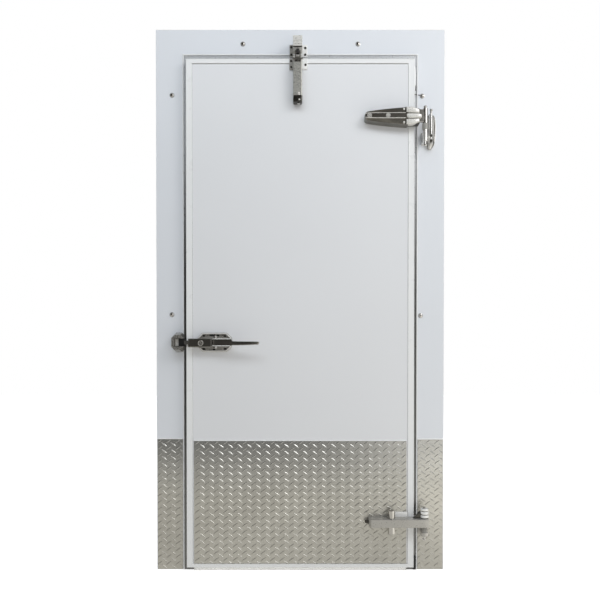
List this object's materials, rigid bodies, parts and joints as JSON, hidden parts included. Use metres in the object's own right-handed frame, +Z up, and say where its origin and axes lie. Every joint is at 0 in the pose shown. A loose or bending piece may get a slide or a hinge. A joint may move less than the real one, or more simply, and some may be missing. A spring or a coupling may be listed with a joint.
{
  "type": "insulated cold-room door set with tread kick plates",
  "caption": "Insulated walk-in cooler door in its three-sided frame, with tread kick plates on the leaf and jambs, cam-rise hinges, pull latch, inside release and hooked closer.",
  "frame": {"origin": "floor level, middle of the width and of the depth; the plane of the frame's front face passes through it", "axes": "+Z up, -Y towards the person opening the door, hinges on the +X side"},
  "size_m": [1.168, 0.2, 2.19],
  "materials": {
    "white_paint": "fine embossed, satin",
    "white_trim": "satin",
    "tread_plate": "bright mill, raised tread",
    "chrome": "polished",
    "dome_cap": "polished",
    "bright_steel": "bright",
    "seal_steel": "brushed",
    "closer_metal": "satin silver",
    "dark_metal": "satin",
    "roller_black": "satin",
    "black_rubber": "matte",
    "nylon": "satin",
    "foam": "matte foam",
    "knob": "gloss"
  },
  "bodies": {
    "frame": {"cap_header_left": "dome_cap", "cap_header_right": "dome_cap", "cap_left_middle": "dome_cap", "cap_left_upper": "dome_cap", "cap_right_middle": "dome_cap", "cap_right_upper": "dome_cap", "closer_hook": "chrome", "header_core": "foam", "header_shell": "white_paint", "jamb_left_core": "foam", "jamb_left_shell": "white_paint", "jamb_right_core": "foam", "jamb_right_shell": "white_paint", "kick_plate_jamb_left": "tread_plate", "kick_plate_jamb_right": "tread_plate", "latch_strike": "chrome", "lower_hinge_cam_lower": "nylon", "lower_hinge_flange": "chrome", "seal_end_pad": "black_rubber", "seal_face_header": "seal_steel", "seal_face_left": "seal_steel", "seal_face_right": "seal_steel", "upper_hinge_cam_lower": "nylon", "upper_hinge_flange": "chrome"},
    "leaf": {"bottom_sweep": "white_trim", "closer_body": "closer_metal", "closer_end_cap": "dark_metal", "closer_spring": "bright_steel", "kick_plate_door": "tread_plate", "latch_base": "chrome", "latch_housing": "chrome", "latch_spring": "bright_steel", "leaf_core": "foam", "leaf_inner_pan": "white_paint", "leaf_outer_skin": "white_paint", "leaf_trim_bottom": "white_trim", "leaf_trim_left": "white_trim", "leaf_trim_right": "white_trim", "leaf_trim_top": "white_trim", "lower_hinge_cam_upper": "nylon", "lower_hinge_strap": "chrome", "lower_hinge_stud": "bright_steel", "magnetic_gasket": "black_rubber", "release_sleeve": "bright_steel", "upper_hinge_cam_upper": "nylon", "upper_hinge_strap": "chrome"},
    "hinge_pins": {"upper_hinge_pin": "bright_steel", "lower_hinge_pin": "bright_steel"},
    "latch_handle": {"latch_handle": "chrome", "latch_pivot_pin": "bright_steel"},
    "latch_bolt": {"latch_bolt": "bright_steel"},
    "key_cylinder": {"key_cylinder": "bright_steel"},
    "inside_release": {"release_rod": "bright_steel", "release_knob": "knob"},
    "closer_arm": {"closer_arm": "bright_steel"},
    "closer_roller": {"closer_roller": "roller_black"},
    "closer_piston": {"closer_piston": "bright_steel"},
    "closer_adjuster": {"closer_adjuster": "bright_steel"}
  },
  "joints": [
    {"name": "door_lift", "type": "slide", "parent": "frame", "child": "hinge_pins", "axis": [0, 0, 1], "range_m": [0, 0.0097]},
    {"name": "door_swing", "type": "hinge", "parent": "hinge_pins", "child": "leaf", "pos_m": [0.494, -0.06, 1], "axis": [0, 0, 1], "range_deg": [0, 110]},
    {"name": "latch_pull", "type": "hinge", "parent": "leaf", "child": "latch_handle", "pos_m": [-0.335, -0.07, 0.926], "axis": [0, 0, -1], "range_deg": [0, 25]},
    {"name": "bolt_slide", "type": "slide", "parent": "leaf", "child": "latch_bolt", "axis": [1, 0, 0], "range_m": [0, 0.0119], "deforming": ["latch_spring"]},
    {"name": "inside_push", "type": "slide", "parent": "leaf", "child": "inside_release", "axis": [0, -1, 0], "range_m": [0, 0.0146]},
    {"name": "key_turn", "type": "hinge", "parent": "leaf", "child": "key_cylinder", "pos_m": [-0.393, -0.07, 0.924], "axis": [0, -1, 0], "range_deg": [-90, 0]},
    {"name": "closer_arm_swing", "type": "hinge", "parent": "leaf", "child": "closer_arm", "pos_m": [-0.01, -0.0566, 2.048], "axis": [1, 0, 0], "range_deg": [0, 35]},
    {"name": "closer_roller_spin", "type": "hinge", "parent": "closer_arm", "child": "closer_roller", "pos_m": [-0.01, -0.052, 2.078], "axis": [1, 0, 0], "continuous": true},
    {"name": "closer_piston_slide", "type": "slide", "parent": "leaf", "child": "closer_piston", "axis": [0, 0, -1], "range_m": [0, 0.008], "deforming": ["closer_spring"]},
    {"name": "closer_adjuster_turn", "type": "hinge", "parent": "leaf", "child": "closer_adjuster", "pos_m": [-0.006, -0.0586, 1.87], "axis": [0, 0, 1], "range_deg": [-180, 180]}
  ],
  "couplings": [
    {"joint": "door_lift", "follows": "door_swing", "m_per_rad": 0.005},
    {"joint": "bolt_slide", "follows": "latch_pull", "m_per_rad": 0.027},
    {"joint": "inside_push", "follows": "latch_pull", "m_per_rad": 0.0332},
    {"joint": "closer_arm_swing", "follows": "closer_piston_slide", "rad_per_m": 76.336}
  ]
}
